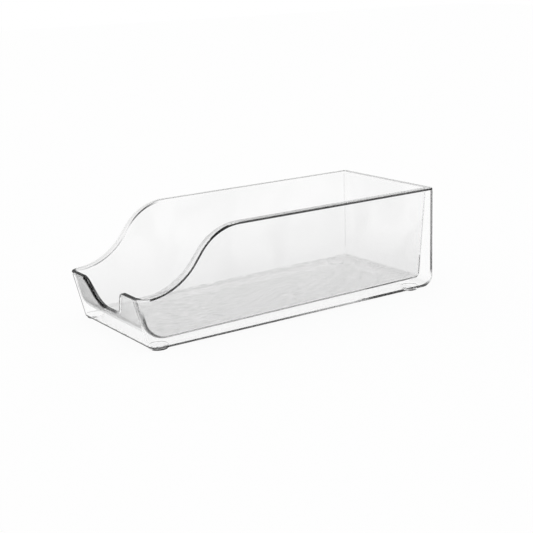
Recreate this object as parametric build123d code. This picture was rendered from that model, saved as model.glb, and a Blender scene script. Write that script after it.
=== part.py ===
from build123d import *
import os
from math import acos, atan2, cos, hypot, sin

# Overall size of the organizer
overall_length = 350
overall_width = 148
overall_height = 106.8

# Front wall, leaning outward to a low lip
lip_height = 50.8
lip_thickness = 4.8
front_reach = 13
lip_corner_radius = 14
base_corner_radius = 10

# Rear corners and the rounded heel under the rear wall
rear_corner_radius = 3
heel_radius = 15
base_edge_radius = 0.8

# Rim line seen from the side: flat top, crest, straight fall, sweep to the lip
top_flat_length = 240.5
crest_radius = 54
sweep_radius = 64.5
straight_fall = 11.7

# Rim flange of the tub, lying on the upper edge of the shell
rim_width = 7
rim_thickness = 2.4
rim_edge_radius = 0.9
rim_inner_radius = 0.3
rim_clearance = 0.1

# Thin moulded walls
shell_wall = 2.3
tub_wall = 2.2

# Inside of the tub, its floor falling slightly towards the lip
floor_rear_height = 11.8
floor_front_height = 9
side_draft = 5.3
rear_draft = 5.8
scoop_radius = 23
rear_floor_radius = 4
tub_edge_radius = 2

# Finger notch in the middle of the lip
notch_top_width = 73
notch_floor_width = 41
notch_floor_height = 24.8
notch_floor_radius = 22
notch_shoulder_radius = 14
notch_margin = 12
shoulder_rise = 1

# Round pads under the four corners
foot_radius = 9
foot_stand = 2
foot_recess = 0.8
foot_clearance = 0.1
foot_edge_radius = 0.5
foot_inset = 10.5
foot_heel_gap = 1

# Upper faces of the rim: as high as the notch at least, and turned upward by this share
upward_share = 0.4

# Every cut runs this far past the faces it goes through
overrun = 6

# Lines that several pieces share
half_length = overall_length / 2
half_width = overall_width / 2
crest_y = half_length - top_flat_length
both_radii = crest_radius + sweep_radius
rim_fall = overall_height - lip_height
fall_lean = atan2(straight_fall, both_radii)
fall_angle = acos((both_radii - rim_fall) / hypot(both_radii, straight_fall)) - fall_lean
lip_back_y = crest_y - both_radii * sin(fall_angle) - straight_fall * cos(fall_angle)
front_slope = front_reach / (lip_height - foot_stand)
lip_rounding = rim_edge_radius * (front_slope + hypot(1, front_slope) - 1)
lowest_rim = notch_floor_height - rim_edge_radius
lean_end = lip_height + rim_thickness
top_end = overall_height + overrun
front_end = -half_length - overrun
rear_end = half_length + overrun


# Front face of the shell at one height, the rounded lip reaching the full length
def front_y(level):
    return -half_length - lip_rounding + front_slope * (lip_height - level)


# Side outline (length, height) made as wide as asked
def across(outline, width):
    return extrude(Plane.YZ * outline, amount=width / 2, both=True)


# Plan of the shell at one height
def shell_plan(level, front, inset, front_radius):
    side = half_width - inset
    rear = half_length - inset
    plan = make_face(Polyline((-side, front), (side, front), (side, rear), (-side, rear), close=True))
    plan = fillet(plan.vertices().sort_by(Axis.Y)[:2], front_radius - inset)
    plan = fillet(plan.vertices().sort_by(Axis.Y)[-2:], rear_corner_radius - inset)
    return Plane.XY.offset(level) * plan


# Block within the outer face of the shell, or within its inner face when inset by the wall
def shell_block(inset):
    base = foot_stand + inset
    rear = half_length - inset
    lower = shell_plan(base, front_y(base) + inset, inset, base_corner_radius)
    middle = shell_plan(lean_end, front_y(lean_end) + inset, inset, lip_corner_radius)
    upper = shell_plan(top_end, front_y(lean_end) + inset, inset, lip_corner_radius)
    block = loft([lower, middle, upper], ruled=True)
    if inset == 0:
        block = fillet(block.faces().sort_by(Axis.Z)[0].edges(), base_edge_radius)
    corners = [(front_end, base), (rear, base), (rear, top_end), (front_end, top_end)]
    heel = make_face(Polyline(*corners, close=True))
    heel = fillet(heel.vertices().sort_by(Axis.X)[-2:].sort_by(Axis.Y)[0], heel_radius - inset)
    return block & across(heel, overall_width + overrun)


# All that lies under the rim line, or under that line moved inward by the drop
def under_rim(drop):
    crest = crest_radius - drop
    sweep = sweep_radius + drop
    top = overall_height - drop
    lip = lip_height - drop
    crest_z = overall_height - crest_radius
    sweep_z = lip_height + sweep_radius

    def on_crest(angle):
        return (crest_y - crest * sin(angle), crest_z + crest * cos(angle))

    def on_sweep(angle):
        return (lip_back_y + sweep * sin(angle), sweep_z - sweep * cos(angle))

    outline = [
        Polyline((lip_back_y, lip), (front_end, lip), (front_end, -overrun), (rear_end, -overrun)),
        Polyline((rear_end, -overrun), (rear_end, top), (crest_y, top)),
        ThreePointArc(on_crest(0), on_crest(fall_angle / 2), on_crest(fall_angle)),
        Line(on_crest(fall_angle), on_sweep(fall_angle)),
        ThreePointArc(on_sweep(fall_angle), on_sweep(fall_angle / 2), on_sweep(0)),
    ]
    return across(make_face(outline), overall_width + overrun)


# Space of the finger notch, or that space grown by the flange
def notch(grow):
    shoulder = notch_top_width / 2
    floor = notch_floor_width / 2
    edge = shoulder + notch_margin
    above = lip_height + notch_margin
    rise = lip_height + shoulder_rise
    left = [(-edge, above), (-edge, rise), (-shoulder, lip_height), (-floor, notch_floor_height)]
    right = [(-x, z) for x, z in reversed(left)]
    space = make_face(Polyline(*left, *right, close=True))
    space = fillet(space.vertices().sort_by(Axis.Y)[2:4], notch_shoulder_radius)
    space = fillet(space.vertices().sort_by(Axis.Y)[:2], notch_floor_radius)
    if grow > 0:
        space = offset(space, amount=grow)
    back = front_y(0) + lip_thickness + overrun
    return extrude(Plane.XZ.offset(-back) * space, amount=back - front_end)


# Space inside the tub, or the tub's outer skin when grown by its wall
def tub_block(grow):
    floor_front = floor_front_height - grow
    floor_rear = floor_rear_height - grow
    rear_top = half_length - rim_width + grow
    side_top = half_width - rim_width + grow
    inner = lip_thickness - grow

    def drafted(at_top, draft, level):
        return at_top - draft / overall_height * (overall_height - level)

    side = make_face(Polyline(
        (front_y(top_end) + inner, top_end),
        (front_y(floor_front) + inner, floor_front),
        (drafted(rear_top, rear_draft, floor_rear), floor_rear),
        (drafted(rear_top, rear_draft, top_end), top_end),
        close=True))
    side = fillet(side.vertices().sort_by(Axis.Y)[1], rear_floor_radius + grow)
    side = fillet(side.vertices().sort_by(Axis.Y)[0], scoop_radius + grow)
    half_base = drafted(side_top, side_draft, 0)
    half_top = drafted(side_top, side_draft, top_end)
    end = make_face(Polyline((-half_base, 0), (0, 0), (0, top_end), (-half_top, top_end), close=True))
    left = across(side, overall_width) & extrude(Plane.XZ * end, amount=overall_length, both=True)
    wall = left.faces().sort_by(Axis.X)[0]
    left = fillet(wall.edges().sort_by(Axis.Z)[:-1], tub_edge_radius + grow)
    return left + mirror(left, Plane.YZ)


# Pad at one corner, standing in its recess
def foot(x, y):
    pad = Pos(x, y, 0) * extrude(Circle(foot_radius), amount=foot_stand + foot_recess - foot_clearance)
    return fillet(pad.edges().sort_by(Axis.Z)[0], foot_edge_radius)


foot_x = half_width - foot_inset
foot_front_y = front_y(foot_stand) + foot_inset
foot_rear_y = half_length - heel_radius - foot_heel_gap - foot_radius
foot_places = {
    "foot_front_left": (-foot_x, foot_front_y),
    "foot_front_right": (foot_x, foot_front_y),
    "foot_rear_left": (-foot_x, foot_rear_y),
    "foot_rear_right": (foot_x, foot_rear_y),
}

# What the rim line and the notch bound, or what is left of it when they are moved inward
block = shell_block(0)


def bounded(drop):
    return (block & under_rim(drop)) - notch(drop)


# Outer shell, hollowed out, with a shallow recess for each pad
outer_shell = bounded(rim_thickness + rim_clearance) - shell_block(shell_wall)
for x, y in foot_places.values():
    recess = extrude(Circle(foot_radius + foot_clearance), amount=foot_stand + foot_recess)
    outer_shell = outer_shell - Pos(x, y, 0) * recess

# Edges that bound the upper faces of the rim
def rim_border(solid):
    upper_faces = [face for face in solid.faces() if face.center().Z > lowest_rim]
    rim_faces = [face for face in upper_faces if face.normal_at().Z > upward_share]
    rim_edges = [edge for face in rim_faces for edge in face.edges()]
    return [edge for edge in rim_edges if sum(edge.is_same(other) for other in rim_edges) == 1]


# Inner tub with its flange over the shell's edge, well rounded outside and only just inside
inside = tub_block(0)
rimmed = bounded(0) - inside
outer_edges = [edge for edge in rim_border(rimmed) if edge.distance_to(inside) > rim_edge_radius]
rimmed = fillet(outer_edges, rim_edge_radius)
inner_edges = [edge for edge in rim_border(rimmed) if edge.distance_to(inside) < rim_inner_radius]
rimmed = fillet(inner_edges, rim_inner_radius)
inner_tub = rimmed - (bounded(rim_thickness) - tub_block(tub_wall))

os.makedirs("parts", exist_ok=True)
export_step(outer_shell, "parts/outer_shell.step")
export_step(inner_tub, "parts/inner_tub.step")
for name, (x, y) in foot_places.items():
    export_step(foot(x, y), "parts/" + name + ".step")
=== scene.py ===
import bpy
from math import cos, radians, sin
from mathutils import Matrix, Vector


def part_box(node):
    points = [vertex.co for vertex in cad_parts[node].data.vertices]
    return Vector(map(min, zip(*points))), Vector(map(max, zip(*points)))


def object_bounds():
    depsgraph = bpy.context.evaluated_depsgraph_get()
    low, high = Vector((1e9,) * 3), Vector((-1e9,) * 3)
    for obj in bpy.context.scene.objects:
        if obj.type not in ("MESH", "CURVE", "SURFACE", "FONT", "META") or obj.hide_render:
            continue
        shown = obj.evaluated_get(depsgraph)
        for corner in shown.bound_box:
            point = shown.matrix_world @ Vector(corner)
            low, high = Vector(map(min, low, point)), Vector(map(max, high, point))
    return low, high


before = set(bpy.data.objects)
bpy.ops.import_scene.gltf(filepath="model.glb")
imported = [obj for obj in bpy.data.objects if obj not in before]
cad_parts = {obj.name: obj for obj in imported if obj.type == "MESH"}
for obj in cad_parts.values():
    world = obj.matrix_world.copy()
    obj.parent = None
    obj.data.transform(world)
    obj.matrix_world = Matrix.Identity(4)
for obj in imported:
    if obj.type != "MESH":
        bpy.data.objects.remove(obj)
cad_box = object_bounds()

# Outer shell: the thin-walled open box that shows from outside, with the leaning front.
# Injection-moulded in clear SAN and polished all over, like the steel of its mould.
# It stands on its four pads, and the tub hangs in it by the rim.

shell_low, shell_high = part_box("outer_shell")
base_height = shell_low[2]
side_face = shell_high[0]
rear_face = shell_high[1]
shell_wall = 0.0023
wall_fade = 0.0002
inner_face = side_face - shell_wall
heel_radius = 0.015
heel_middle = (0.0, rear_face - heel_radius, base_height + heel_radius)
inner_heel = heel_radius - shell_wall
base_edge_top = base_height + 0.0018
base_edge_fade = 0.0004
rear_strip_start = rear_face - 0.0052
rear_strip_fade = 0.0008
rear_strip_foot = base_height + 0.0122
rear_strip_foot_fade = 0.006
paling_start = -0.02
paling_end = 0.165
sink_mm = 45
scuff_mm = 6

front_pad_low, front_pad_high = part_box("foot_front_right")
rear_pad_low, rear_pad_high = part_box("foot_rear_right")
pad_radius = (front_pad_high[0] - front_pad_low[0]) / 2
pad_x = (front_pad_low[0] + front_pad_high[0]) / 2
front_pad_y = (front_pad_low[1] + front_pad_high[1]) / 2
rear_pad_y = (rear_pad_low[1] + rear_pad_high[1]) / 2
halfway_y = (front_pad_y + rear_pad_y) / 2
recess_edge = pad_radius + 0.0003
recess_fade = 0.0004


def linear(colour):
    shares = [int(colour[i:i + 2], 16) / 255 for i in (1, 3, 5)]
    return [s / 12.92 if s <= 0.04045 else ((s + 0.055) / 1.055) ** 2.4 for s in shares] + [1]


def add(tree, kind, settings, links=None):
    made = tree.nodes.new(kind)
    for name, value in settings.items():
        if isinstance(name, int) or name in made.inputs:
            made.inputs[name].default_value = value
        else:
            setattr(made, name, value)
    for name, source in (links or {}).items():
        tree.links.new(source, made.inputs[name])
    return made


def new_material(name):
    made = bpy.data.materials.new(name)
    made.use_nodes = True
    made.node_tree.nodes.clear()
    return made, made.node_tree


# Where a point of a piece is, how far it faces along each axis, and 1 where light enters it
def surface(tree):
    spot = add(tree, "ShaderNodeTexCoord", {})
    at = add(tree, "ShaderNodeSeparateXYZ", {}, {"Vector": spot.outputs["Object"]})
    unsigned = add(tree, "ShaderNodeVectorMath", {"operation": "ABSOLUTE"}, {0: spot.outputs["Normal"]})
    faces = add(tree, "ShaderNodeSeparateXYZ", {}, {"Vector": unsigned.outputs["Vector"]})
    side = add(tree, "ShaderNodeNewGeometry", {})
    inward = add(
        tree, "ShaderNodeMath", {"operation": "SUBTRACT", 0: 1.0}, {1: side.outputs["Backfacing"]})
    return spot, at.outputs, faces.outputs, inward.outputs[0]


def dress(node, material):
    piece = bpy.data.objects[node]
    piece.data.materials.clear()
    piece.data.materials.append(material)


# Polished clear SAN: the walls are all but unseen, and the eye finds the box by its edges,
# by painted shade on the bottom edge and the rear corners, and by painted shade wherever it looks along a
# wall.
# The index of refraction is far below that of SAN, to keep the walls as clear as they look.
shell_clear, tree = new_material("clear_san_polished_shell")
spot, at, faces, inward = surface(tree)
place = spot.outputs["Object"]
sideways = add(tree, "ShaderNodeMath", {"operation": "ABSOLUTE"}, {0: at["X"]})

# Bottom edge: the rounding under the walls, and the side of the heel where the wall ends
low = add(
    tree, "ShaderNodeMapRange",
    {"From Min": base_edge_top, "From Max": base_edge_top + base_edge_fade, "To Min": 1.0, "To Max": 0.0},
    {"Value": at["Z"]})
from_heel = add(tree, "ShaderNodeVectorMath", {"operation": "SUBTRACT", 1: heel_middle}, {0: place})
past_heel = add(
    tree, "ShaderNodeVectorMath", {"operation": "MULTIPLY", 1: (0.0, 1.0, -1.0)},
    {0: from_heel.outputs["Vector"]})
round_heel = add(
    tree, "ShaderNodeVectorMath", {"operation": "MAXIMUM", 1: (0.0, 0.0, 0.0)},
    {0: past_heel.outputs["Vector"]})
reached = add(tree, "ShaderNodeVectorMath", {"operation": "LENGTH"}, {0: round_heel.outputs["Vector"]})
wall_end = add(
    tree, "ShaderNodeMapRange",
    {"From Min": inner_heel - wall_fade / 2, "From Max": inner_heel + wall_fade},
    {"Value": reached.outputs["Value"]})
faces_aside = add(
    tree, "ShaderNodeMapRange", {"From Min": 0.5, "From Max": 0.7, "To Min": 1.0, "To Max": 0.0},
    {"Value": faces["Y"]})
heel_end = add(
    tree, "ShaderNodeMath", {"operation": "MULTIPLY"},
    {0: wall_end.outputs["Result"], 1: faces_aside.outputs["Result"]})
low_or_heel = add(
    tree, "ShaderNodeMath", {"operation": "MAXIMUM"},
    {0: low.outputs["Result"], 1: heel_end.outputs[0]})
turned = add(
    tree, "ShaderNodeMapRange", {"From Min": 0.88, "From Max": 0.98, "To Min": 1.0, "To Max": 0.0},
    {"Value": faces["Z"]})
turned_edge = add(
    tree, "ShaderNodeMath", {"operation": "MULTIPLY"},
    {0: low_or_heel.outputs[0], 1: turned.outputs["Result"]})

# The pads' recesses stay out of the bottom edge and its painted shade
centred = add(tree, "ShaderNodeVectorMath", {"operation": "ADD", 1: (0.0, -halfway_y, 0.0)}, {0: place})
one_quarter = add(tree, "ShaderNodeVectorMath", {"operation": "ABSOLUTE"}, {0: centred.outputs["Vector"]})
from_pad = add(
    tree, "ShaderNodeVectorMath", {"operation": "SUBTRACT", 1: (pad_x, rear_pad_y - halfway_y, 0.0)},
    {0: one_quarter.outputs["Vector"]})
level_way = add(
    tree, "ShaderNodeVectorMath", {"operation": "MULTIPLY", 1: (1.0, 1.0, 0.0)},
    {0: from_pad.outputs["Vector"]})
pad_distance = add(tree, "ShaderNodeVectorMath", {"operation": "LENGTH"}, {0: level_way.outputs["Vector"]})
off_pads = add(
    tree, "ShaderNodeMapRange", {"From Min": recess_edge, "From Max": recess_edge + recess_fade},
    {"Value": pad_distance.outputs["Value"]})
base_edge = add(
    tree, "ShaderNodeMath", {"operation": "MULTIPLY"},
    {0: turned_edge.outputs[0], 1: off_pads.outputs["Result"]}).outputs[0]

# Rear corners: an upright strip of painted shade where light runs on inside the wall, strongest outside
behind = add(
    tree, "ShaderNodeMapRange",
    {"From Min": rear_strip_start, "From Max": rear_strip_start + rear_strip_fade}, {"Value": at["Y"]})
round_corner = add(
    tree, "ShaderNodeMapRange", {"From Min": 0.80, "From Max": 0.95, "To Min": 1.0, "To Max": 0.0},
    {"Value": faces["Y"]})
outer_face = add(
    tree, "ShaderNodeMapRange",
    {"From Min": inner_face + wall_fade, "From Max": inner_face + 3 * wall_fade,
     "To Min": 0.2, "To Max": 1.0},
    {"Value": sideways.outputs[0]})
above_heel = add(
    tree, "ShaderNodeMapRange",
    {"From Min": rear_strip_foot, "From Max": rear_strip_foot + rear_strip_foot_fade}, {"Value": at["Z"]})
rear_corner = add(
    tree, "ShaderNodeMath", {"operation": "MULTIPLY"},
    {0: behind.outputs["Result"], 1: round_corner.outputs["Result"]})
outer_and_high = add(
    tree, "ShaderNodeMath", {"operation": "MULTIPLY"},
    {0: outer_face.outputs["Result"], 1: above_heel.outputs["Result"]})
rear_strip_shade_mask = add(
    tree, "ShaderNodeMath", {"operation": "MULTIPLY"},
    {0: rear_corner.outputs[0], 1: outer_and_high.outputs[0]})

# Surface: shallow sinks in the polish, fine scuffs on the bottom edge; the scuff noise also blotches the
# painted shade there
sink = add(tree, "ShaderNodeTexNoise", {"Scale": 1000 / sink_mm, "Detail": 1.0}, {"Vector": place})
scuffs_and_shade_blotches = add(tree, "ShaderNodeTexNoise", {"Scale": 1000 / scuff_mm, "Detail": 3.0}, {"Vector": place})
haze = add(tree, "ShaderNodeMapRange", {"To Min": 0.0, "To Max": 0.03}, {"Value": sink.outputs["Fac"]})
dull = add(tree, "ShaderNodeMapRange", {"To Min": 0.15, "To Max": 0.40}, {"Value": scuffs_and_shade_blotches.outputs["Fac"]})
rough = add(
    tree, "ShaderNodeMix", {"data_type": "FLOAT"},
    {0: base_edge, 2: haze.outputs["Result"], 3: dull.outputs["Result"]})

# Colour: clear, with painted shade where an upright wall is seen nearly edge-on, and painted
# shade on the bottom edge and the rear corners where light enters them, the bottom edge paler towards the
# rear
# Painted shade: the base colour goes near black where an upright wall is seen at a grazing angle
grazing = add(tree, "ShaderNodeLayerWeight", {"Blend": 0.5}).outputs["Facing"]
skim = add(tree, "ShaderNodeMapRange", {"From Min": 0.71, "From Max": 0.78}, {"Value": grazing})
upright = add(
    tree, "ShaderNodeMapRange", {"From Min": 0.40, "From Max": 0.60, "To Min": 1.0, "To Max": 0.0},
    {"Value": faces["Z"]})
along_wall = add(
    tree, "ShaderNodeMath", {"operation": "MULTIPLY"},
    {0: skim.outputs["Result"], 1: upright.outputs["Result"]})
grazing_painted_shade = add(
    tree, "ShaderNodeMix", {"data_type": "RGBA", 6: linear("#FEFEFE"), 7: linear("#0A0A0A")},
    {0: along_wall.outputs[0]})
rearward = add(
    tree, "ShaderNodeMapRange", {"From Min": paling_start, "From Max": paling_end}, {"Value": at["Y"]})
# Painted shade on the bottom edge: dark grey, paler towards the rear, in blotches from the scuff noise
painted_edge_shade_deep = add(
    tree, "ShaderNodeMix", {"data_type": "RGBA", 6: linear("#202020"), 7: linear("#C0C0C0")},
    {0: rearward.outputs["Result"]})
painted_edge_shade_pale = add(
    tree, "ShaderNodeMix", {"data_type": "RGBA", 6: linear("#383838"), 7: linear("#DCDCDC")},
    {0: rearward.outputs["Result"]})
painted_bottom_edge_shade = add(
    tree, "ShaderNodeMix", {"data_type": "RGBA"},
    {0: scuffs_and_shade_blotches.outputs["Fac"], 6: painted_edge_shade_deep.outputs[2], 7: painted_edge_shade_pale.outputs[2]})
base_entered = add(tree, "ShaderNodeMath", {"operation": "MULTIPLY"}, {0: base_edge, 1: inward})
rear_painted_shade = add(tree, "ShaderNodeMath", {"operation": "MULTIPLY"}, {0: rear_strip_shade_mask.outputs[0], 1: inward})
edged = add(
    tree, "ShaderNodeMix", {"data_type": "RGBA"},
    {0: base_entered.outputs[0], 6: grazing_painted_shade.outputs[2], 7: painted_bottom_edge_shade.outputs[2]})
# Painted shade, mid grey, on the rear corner strips where light enters them
tint = add(
    tree, "ShaderNodeMix", {"data_type": "RGBA", 7: linear("#585858")},
    {0: rear_painted_shade.outputs[0], 6: edged.outputs[2]})
plastic = add(
    tree, "ShaderNodeBsdfPrincipled", {"IOR": 1.22, "Transmission Weight": 1.0},
    {"Base Color": tint.outputs[2], "Roughness": rough.outputs[0]})
add(tree, "ShaderNodeOutputMaterial", {}, {"Surface": plastic.outputs["BSDF"]})
dress("outer_shell", shell_clear)

# Feet: four round pads stuck into shallow recesses under the shell's corners.
# Cast in soft clear PVC, a little cloudy, with a satin skin from their mould.

standing_height = 0.0014
standing_fade = 0.0003
skin_mm = 3
shade_blotch_mm = 10

# Soft clear PVC with a satin skin: a faint lens under each corner, dark only in blotches of
# painted shade on the outer sides, low down near the shelf.
# The index of refraction is far below that of PVC, so that the pads stay as faint as they look.
pad_soft, tree = new_material("clear_soft_pvc_satin")
spot, at, faces, inward = surface(tree)
place = spot.outputs["Object"]
skin = add(tree, "ShaderNodeTexNoise", {"Scale": 1000 / skin_mm, "Detail": 2.0}, {"Vector": place})
haze = add(tree, "ShaderNodeMapRange", {"To Min": 0.02, "To Max": 0.10}, {"Value": skin.outputs["Fac"]})
pad_side = add(
    tree, "ShaderNodeMapRange", {"From Min": 0.80, "From Max": 0.95, "To Min": 1.0, "To Max": 0.0},
    {"Value": faces["Z"]})
standing = add(
    tree, "ShaderNodeMapRange",
    {"From Min": standing_height, "From Max": standing_height + standing_fade,
     "To Min": 1.0, "To Max": 0.0},
    {"Value": at["Z"]})
bare_side = add(
    tree, "ShaderNodeMath", {"operation": "MULTIPLY"},
    {0: pad_side.outputs["Result"], 1: standing.outputs["Result"]})
side_entered = add(tree, "ShaderNodeMath", {"operation": "MULTIPLY"}, {0: bare_side.outputs[0], 1: inward})
quarter = add(tree, "ShaderNodeVectorMath", {"operation": "SIGN"}, {0: place})
outward = add(
    tree, "ShaderNodeVectorMath", {"operation": "MULTIPLY"},
    {0: quarter.outputs["Vector"], 1: spot.outputs["Normal"]})
away = add(tree, "ShaderNodeSeparateXYZ", {}, {"Vector": outward.outputs["Vector"]})
most_away = add(
    tree, "ShaderNodeMath", {"operation": "MAXIMUM"}, {0: away.outputs["X"], 1: away.outputs["Y"]})
outer_side = add(
    tree, "ShaderNodeMapRange", {"From Min": 0.1, "From Max": 0.4}, {"Value": most_away.outputs[0]})
shade_blotch_noise = add(tree, "ShaderNodeTexNoise", {"Scale": 1000 / shade_blotch_mm, "Detail": 1.0}, {"Vector": place})
shade_blotches = add(tree, "ShaderNodeMapRange", {"From Min": 0.38, "From Max": 0.46}, {"Value": shade_blotch_noise.outputs["Fac"]})
outer_shade_blotches = add(
    tree, "ShaderNodeMath", {"operation": "MULTIPLY"},
    {0: outer_side.outputs["Result"], 1: shade_blotches.outputs["Result"]})
painted_pad_shade = add(
    tree, "ShaderNodeMath", {"operation": "MULTIPLY"}, {0: side_entered.outputs[0], 1: outer_shade_blotches.outputs[0]})
# Painted shade: near black in blotches on the pads' outer sides
tint = add(
    tree, "ShaderNodeMix", {"data_type": "RGBA", 6: linear("#FDFDFD"), 7: linear("#0C0C0C")},
    {0: painted_pad_shade.outputs[0]})
rubber = add(
    tree, "ShaderNodeBsdfPrincipled", {"IOR": 1.06, "Transmission Weight": 1.0},
    {"Base Color": tint.outputs[2], "Roughness": haze.outputs["Result"]})
add(tree, "ShaderNodeOutputMaterial", {}, {"Surface": rubber.outputs["BSDF"]})
for corner in ("front_left", "front_right", "rear_left", "rear_right"):
    dress("foot_" + corner, pad_soft)

# Inner tub: the drafted inside of the organizer, with its scooped floor and finger notch.
# Moulded in one with the flat rim that lies over the shell's edge all round.
# The same clear SAN, polished but for the floor, which has a fine grain along its length.

tub_low, tub_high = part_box("inner_tub")
floor_middle = 0.0104
floor_fall = 0.00861
floor_under = floor_middle - 0.0011
floor_under_fade = 0.0002
grain_top = floor_middle + 0.0006
grain_fade = 0.0008
floor_shade_top = floor_middle + 0.0002
floor_shade_fade = 0.0005
grey_foot = 0.010
grey_top = 0.070
lip_height = 0.0508
lip_edge_foot = lip_height - 0.0040
front_lean = 0.266
front_face = tub_low[1] + front_lean * lip_height
lip_back = front_face + 0.0045
lip_back_fade = 0.0025
scoop_back = front_face + 0.0115
scoop_back_fade = 0.012
scoop_half = 0.0598
scoop_half_fade = 0.0014
scoop_line_top = 0.030
scoop_line_fade = 0.010
front_shade_half = 0.062
front_shade_foot = 0.0012
notch_height = 0.0248
notch_foot = notch_height - 0.0030
notch_half = 0.045
notch_half_fade = 0.003
edge_fade = 0.001
rim_skin = 0.0003
rim_side = tub_high[0] - rim_skin
rim_rear = tub_high[1] - rim_skin
rim_fade = 0.0002
grain_width_mm = 2.8
grain_length_mm = 11
flow_mm = 60

# Polished clear SAN with a grained floor: clear walls with painted shade on the cut edges, and a floor
# whose own grain is greyed by painted shade. The grain is drawn coarser than the real one, which is too fine
# to show.
# The index of refraction is far below that of SAN, to keep the rim as clear as it looks.
tub_clear, tree = new_material("clear_san_polished_tub_grained_floor")
spot, at, faces, inward = surface(tree)
place = spot.outputs["Object"]
sideways = add(tree, "ShaderNodeMath", {"operation": "ABSOLUTE"}, {0: at["X"]})

# Floor: found by its height over the sloping plane, grained, and greyed by painted shade
over_floor = add(
    tree, "ShaderNodeVectorMath", {"operation": "DOT_PRODUCT", 1: (0.0, -floor_fall, 1.0)}, {0: place})
above_it = add(
    tree, "ShaderNodeMapRange", {"From Min": floor_under, "From Max": floor_under + floor_under_fade},
    {"Value": over_floor.outputs["Value"]})
near_it = add(
    tree, "ShaderNodeMapRange",
    {"From Min": grain_top, "From Max": grain_top + grain_fade, "To Min": 1.0, "To Max": 0.0},
    {"Value": over_floor.outputs["Value"]})
on_it = add(
    tree, "ShaderNodeMapRange",
    {"From Min": floor_shade_top, "From Max": floor_shade_top + floor_shade_fade, "To Min": 1.0, "To Max": 0.0},
    {"Value": over_floor.outputs["Value"]})
grained_part = add(
    tree, "ShaderNodeMath", {"operation": "MULTIPLY"},
    {0: above_it.outputs["Result"], 1: near_it.outputs["Result"]})
floor_shade_part = add(
    tree, "ShaderNodeMath", {"operation": "MULTIPLY"},
    {0: above_it.outputs["Result"], 1: on_it.outputs["Result"]})
stretched = add(
    tree, "ShaderNodeMapping", {"Scale": (1000 / grain_width_mm, 1000 / grain_length_mm, 1.0)},
    {"Vector": place})
fibres = add(
    tree, "ShaderNodeTexNoise", {"Scale": 1.0, "Detail": 4.0}, {"Vector": stretched.outputs["Vector"]})
grain = add(
    tree, "ShaderNodeMapRange", {"From Min": 0.34, "From Max": 0.66},
    {"Value": fibres.outputs["Fac"]}).outputs["Result"]
# The floor's grain is its own; the grey in it is painted shade
grain_and_painted_shade = add(
    tree, "ShaderNodeMix", {"data_type": "RGBA", 6: linear("#CCCCCC"), 7: linear("#FAFAFA")}, {0: grain})
sink = add(tree, "ShaderNodeTexNoise", {"Scale": 1000 / sink_mm, "Detail": 1.0}, {"Vector": place})
haze = add(tree, "ShaderNodeMapRange", {"To Min": 0.0, "To Max": 0.03}, {"Value": sink.outputs["Fac"]})
frost = add(tree, "ShaderNodeMapRange", {"To Min": 0.04, "To Max": 0.16}, {"Value": grain})
rough = add(
    tree, "ShaderNodeMix", {"data_type": "FLOAT"},
    {0: grained_part.outputs[0], 2: haze.outputs["Result"], 3: frost.outputs["Result"]})

# Walls: clear with faint flow marks, a little greyer towards the bottom
flow = add(
    tree, "ShaderNodeTexNoise", {"Scale": 1000 / flow_mm, "Detail": 1.0, "Distortion": 0.8},
    {"Vector": place})
flow_marks = add(
    tree, "ShaderNodeMapRange", {"From Min": 0.42, "From Max": 0.62}, {"Value": flow.outputs["Fac"]})
streaked = add(
    tree, "ShaderNodeMix", {"data_type": "RGBA", 6: linear("#FDFDFD"), 7: linear("#F9F9F9")},
    {0: flow_marks.outputs["Result"]})
# Greyer towards the bottom, by height alone
lower_wall = add(
    tree, "ShaderNodeMapRange",
    {"From Min": grey_foot, "From Max": grey_top, "To Min": 1.0, "To Max": 0.0}, {"Value": at["Z"]})
clear_wall = add(
    tree, "ShaderNodeMix", {"data_type": "RGBA", 7: linear("#F3F3F3")},
    {0: lower_wall.outputs["Result"], 6: streaked.outputs[2]})

# Scoop and front wall: painted shade, deeper below and towards the left
leaning = add(
    tree, "ShaderNodeVectorMath", {"operation": "DOT_PRODUCT", 1: (0.0, 1.0, front_lean)}, {0: place})
front = add(
    tree, "ShaderNodeMapRange",
    {"interpolation_type": "SMOOTHSTEP", "From Min": scoop_back, "From Max": scoop_back + scoop_back_fade,
     "To Min": 1.0, "To Max": 0.0},
    {"Value": leaning.outputs["Value"]})
between_sides = add(
    tree, "ShaderNodeMapRange",
    {"From Min": scoop_half, "From Max": scoop_half + scoop_half_fade, "To Min": 1.0, "To Max": 0.0},
    {"Value": sideways.outputs[0]})
scoop = add(
    tree, "ShaderNodeMath", {"operation": "MULTIPLY"},
    {0: front.outputs["Result"], 1: between_sides.outputs["Result"]})
towards_lip = add(
    tree, "ShaderNodeMapRange", {"From Min": front_shade_foot, "From Max": lip_height}, {"Value": at["Z"]})
from_left = add(
    tree, "ShaderNodeMapRange", {"From Min": -front_shade_half, "From Max": front_shade_half}, {"Value": at["X"]})
# Painted shade on the scoop and front wall: grey, darker low down and on the left
front_painted_shade_low = add(
    tree, "ShaderNodeMix", {"data_type": "RGBA", 6: linear("#A2A2A2"), 7: linear("#DEDEDE")},
    {0: from_left.outputs["Result"]})
front_painted_shade_high = add(
    tree, "ShaderNodeMix", {"data_type": "RGBA", 6: linear("#AEAEAE"), 7: linear("#F2F2F2")},
    {0: from_left.outputs["Result"]})
front_painted_shade = add(
    tree, "ShaderNodeMix", {"data_type": "RGBA"},
    {0: towards_lip.outputs["Result"], 6: front_painted_shade_low.outputs[2], 7: front_painted_shade_high.outputs[2]})
walls = add(
    tree, "ShaderNodeMix", {"data_type": "RGBA"},
    {0: scoop.outputs[0], 6: clear_wall.outputs[2], 7: front_painted_shade.outputs[2]})

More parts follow.
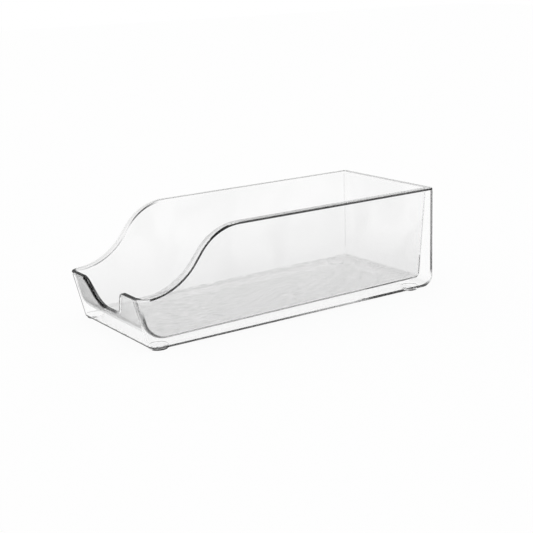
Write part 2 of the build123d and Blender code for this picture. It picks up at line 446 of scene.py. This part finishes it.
# Sides of the scoop: a line of painted shade along the rounding, where light enters it
past_scoop = add(
    tree, "ShaderNodeMapRange", {"From Min": 0.55, "From Max": 0.70}, {"Value": faces["X"]})
before_wall = add(
    tree, "ShaderNodeMapRange", {"From Min": 0.90, "From Max": 0.97, "To Min": 1.0, "To Max": 0.0},
    {"Value": faces["X"]})
rounding = add(
    tree, "ShaderNodeMath", {"operation": "MULTIPLY"},
    {0: past_scoop.outputs["Result"], 1: before_wall.outputs["Result"]})
front_rounding = add(
    tree, "ShaderNodeMath", {"operation": "MULTIPLY"},
    {0: rounding.outputs[0], 1: front.outputs["Result"]})
under_lip = add(
    tree, "ShaderNodeMapRange",
    {"From Min": scoop_line_top, "From Max": scoop_line_top + scoop_line_fade,
     "To Min": 1.0, "To Max": 0.0},
    {"Value": at["Z"]})
low_entered = add(
    tree, "ShaderNodeMath", {"operation": "MULTIPLY"}, {0: under_lip.outputs["Result"], 1: inward})
scoop_painted_shade_line = add(
    tree, "ShaderNodeMath", {"operation": "MULTIPLY"},
    {0: front_rounding.outputs[0], 1: low_entered.outputs[0]})

# Rim: painted shade on the upright outer edge of the flange, at the sides and the rear, where light enters
# it
side_edge = add(
    tree, "ShaderNodeMapRange", {"From Min": rim_side, "From Max": rim_side + rim_fade},
    {"Value": sideways.outputs[0]})
rear_edge = add(
    tree, "ShaderNodeMapRange", {"From Min": rim_rear, "From Max": rim_rear + rim_fade},
    {"Value": at["Y"]})
outer_edges = add(
    tree, "ShaderNodeMath", {"operation": "MAXIMUM"},
    {0: side_edge.outputs["Result"], 1: rear_edge.outputs["Result"]})
rim_painted_shade = add(tree, "ShaderNodeMath", {"operation": "MULTIPLY"}, {0: outer_edges.outputs[0], 1: inward})

# Lip and notch: painted shade on the upper faces at the front, and on the faces cut across it
at_front = add(
    tree, "ShaderNodeMapRange",
    {"From Min": lip_back, "From Max": lip_back + lip_back_fade, "To Min": 1.0, "To Max": 0.0},
    {"Value": leaning.outputs["Value"]})
upper_face = add(
    tree, "ShaderNodeMapRange", {"From Min": 0.5, "From Max": 0.7}, {"Value": faces["Z"]})
at_lip = add(
    tree, "ShaderNodeMapRange", {"From Min": lip_edge_foot, "From Max": lip_edge_foot + edge_fade},
    {"Value": at["Z"]})
lip_top = add(
    tree, "ShaderNodeMath", {"operation": "MULTIPLY"},
    {0: upper_face.outputs["Result"], 1: at_lip.outputs["Result"]})
lip_painted_shade = add(
    tree, "ShaderNodeMath", {"operation": "MULTIPLY"},
    {0: at_front.outputs["Result"], 1: lip_top.outputs[0]})
cut_across = add(
    tree, "ShaderNodeMapRange", {"From Min": 0.65, "From Max": 0.80, "To Min": 1.0, "To Max": 0.0},
    {"Value": faces["Y"]})
from_notch_up = add(
    tree, "ShaderNodeMapRange", {"From Min": notch_foot, "From Max": notch_foot + edge_fade},
    {"Value": at["Z"]})
cut_face = add(
    tree, "ShaderNodeMath", {"operation": "MULTIPLY"},
    {0: cut_across.outputs["Result"], 1: from_notch_up.outputs["Result"]})
in_middle = add(
    tree, "ShaderNodeMapRange",
    {"From Min": notch_half, "From Max": notch_half + notch_half_fade, "To Min": 1.0, "To Max": 0.0},
    {"Value": sideways.outputs[0]})
notch_face = add(
    tree, "ShaderNodeMath", {"operation": "MULTIPLY"},
    {0: cut_face.outputs[0], 1: in_middle.outputs["Result"]})
notch_painted_shade = add(
    tree, "ShaderNodeMath", {"operation": "MULTIPLY"},
    {0: at_front.outputs["Result"], 1: notch_face.outputs[0]})

# Colour: walls, then the painted shade of the scoop line, the grain and painted shade of the floor, and the
# painted shade of the rim, notch and lip, each over the one before
# Painted shade, dark grey, on the scoop line
lined = add(
    tree, "ShaderNodeMix", {"data_type": "RGBA", 7: linear("#303030")},
    {0: scoop_painted_shade_line.outputs[0], 6: walls.outputs[2]})
floored = add(
    tree, "ShaderNodeMix", {"data_type": "RGBA"},
    {0: floor_shade_part.outputs[0], 6: lined.outputs[2], 7: grain_and_painted_shade.outputs[2]})
# Painted shade, near black, on the rim's outer edge
rimmed = add(
    tree, "ShaderNodeMix", {"data_type": "RGBA", 7: linear("#141414")},
    {0: rim_painted_shade.outputs[0], 6: floored.outputs[2]})
# Painted shade, dark grey, on the notch faces
notched = add(
    tree, "ShaderNodeMix", {"data_type": "RGBA", 7: linear("#303030")},
    {0: notch_painted_shade.outputs[0], 6: rimmed.outputs[2]})
# Painted shade, near black, on the lip's upper faces
tint = add(
    tree, "ShaderNodeMix", {"data_type": "RGBA", 7: linear("#101010")},
    {0: lip_painted_shade.outputs[0], 6: notched.outputs[2]})
plastic = add(
    tree, "ShaderNodeBsdfPrincipled", {"IOR": 1.24, "Transmission Weight": 1.0},
    {"Base Color": tint.outputs[2], "Roughness": rough.outputs[0]})
add(tree, "ShaderNodeOutputMaterial", {}, {"Surface": plastic.outputs["BSDF"]})
dress("inner_tub", tub_clear)

# Studio floor: a wide sheet of matt white paper just under the pads.
# It shows as white to the camera and through the plastic, and keeps the object's shadow.

paper_reach = 6.0
paper_gap = 0.0002
paper_corners = [(-1, -1), (1, -1), (1, 1), (-1, 1)]
floor_mesh = bpy.data.meshes.new("paper_floor")
floor_mesh.from_pydata([(paper_reach * x, paper_reach * y, 0) for x, y in paper_corners], [], [(0, 1, 2, 3)])
floor = bpy.data.objects.new("paper_floor", floor_mesh)
bpy.context.collection.objects.link(floor)
floor.location.z = cad_box[0][2] - paper_gap

# Matt white paper: an even white, with a little of the real shade left in it
paper, tree = new_material("white_paper_matt")
matt = add(tree, "ShaderNodeBsdfDiffuse", {"Color": linear("#FCFCFC")})
glow = add(tree, "ShaderNodeEmission", {"Color": linear("#FEFEFE"), "Strength": 1.0})
path = add(tree, "ShaderNodeLightPath", {})
in_plastic = add(
    tree, "ShaderNodeMath", {"operation": "MAXIMUM"},
    {0: path.outputs["Is Glossy Ray"], 1: path.outputs["Is Transmission Ray"]})
seen = add(
    tree, "ShaderNodeMath", {"operation": "MAXIMUM"},
    {0: path.outputs["Is Camera Ray"], 1: in_plastic.outputs[0]})
glow_share = add(
    tree, "ShaderNodeMapRange", {"To Min": 0.95, "To Max": 1.0}, {"Value": in_plastic.outputs[0]})
seen_share = add(
    tree, "ShaderNodeMath", {"operation": "MULTIPLY"}, {0: seen.outputs[0], 1: glow_share.outputs["Result"]})
white = add(
    tree, "ShaderNodeMixShader", {},
    {"Fac": seen_share.outputs[0], 1: matt.outputs["BSDF"], 2: glow.outputs["Emission"]})
add(tree, "ShaderNodeOutputMaterial", {}, {"Surface": white.outputs["Shader"]})
floor_mesh.materials.append(paper)

# Studio dome: an even white light all round, white behind the object.
# Through the plastic it is dark overhead, and in direct reflections it is grey,
# so that the edges of the clear plastic draw themselves.

dome = bpy.data.worlds.new("studio_dome")
bpy.context.scene.world = dome
dome.use_nodes = True
tree = dome.node_tree
tree.nodes.clear()
direction = add(tree, "ShaderNodeTexCoord", {}).outputs["Generated"]
height = add(tree, "ShaderNodeSeparateXYZ", {}, {"Vector": direction}).outputs["Z"]
path = add(tree, "ShaderNodeLightPath", {})
through_plastic = add(
    tree, "ShaderNodeMapRange",
    {"interpolation_type": "SMOOTHSTEP", "From Min": 0.25, "From Max": 0.55, "To Min": 1.0, "To Max": 0.05},
    {"Value": height})
by_plastic = add(
    tree, "ShaderNodeMix", {"data_type": "FLOAT", 2: 0.40},
    {0: path.outputs["Is Transmission Ray"], 3: through_plastic.outputs["Result"]})
in_plastic = add(
    tree, "ShaderNodeMath", {"operation": "MAXIMUM"},
    {0: path.outputs["Is Glossy Ray"], 1: path.outputs["Is Transmission Ray"]})
strength = add(
    tree, "ShaderNodeMix", {"data_type": "FLOAT", 2: 1.0},
    {0: in_plastic.outputs[0], 3: by_plastic.outputs[0]})
light = add(
    tree, "ShaderNodeBackground", {"Color": linear("#FFFFFF")}, {"Strength": strength.outputs[0]})
add(tree, "ShaderNodeOutputWorld", {}, {"Surface": light.outputs["Background"]})

# Camera: at the photograph's angle, with its place, turn and focal length fitted to the rim,
# the bottom lines and the floor's edges.

photo_px = 533
focal_px = 1142.6
film_mm = 36
eye_place = (0.942026, -0.621828, 0.333118)
yaw = radians(56.041)
pitch = radians(14.683)
roll = radians(-1.871)
eye = bpy.data.cameras.new("eye")
eye.sensor_width = film_mm
eye.lens = focal_px / photo_px * film_mm
eye.clip_start = 0.01
camera = bpy.data.objects.new("eye", eye)
bpy.context.collection.objects.link(camera)
ahead = Vector((-sin(yaw) * cos(pitch), cos(yaw) * cos(pitch), -sin(pitch)))
level_side = Vector((cos(yaw), sin(yaw), 0))
level_top = level_side.cross(ahead)
right = cos(roll) * level_side + sin(roll) * level_top
top = cos(roll) * level_top - sin(roll) * level_side
camera.matrix_world = Matrix.Translation(eye_place) @ Matrix((right, top, -ahead)).transposed().to_4x4()
bpy.context.scene.camera = camera
bpy.context.scene.view_settings.view_transform = "Standard"

# Light that runs on inside the clear walls needs many bounces to get out again
bounces = 48
bpy.context.scene.cycles.max_bounces = bounces
bpy.context.scene.cycles.transmission_bounces = bounces
bpy.context.scene.cycles.glossy_bounces = bounces
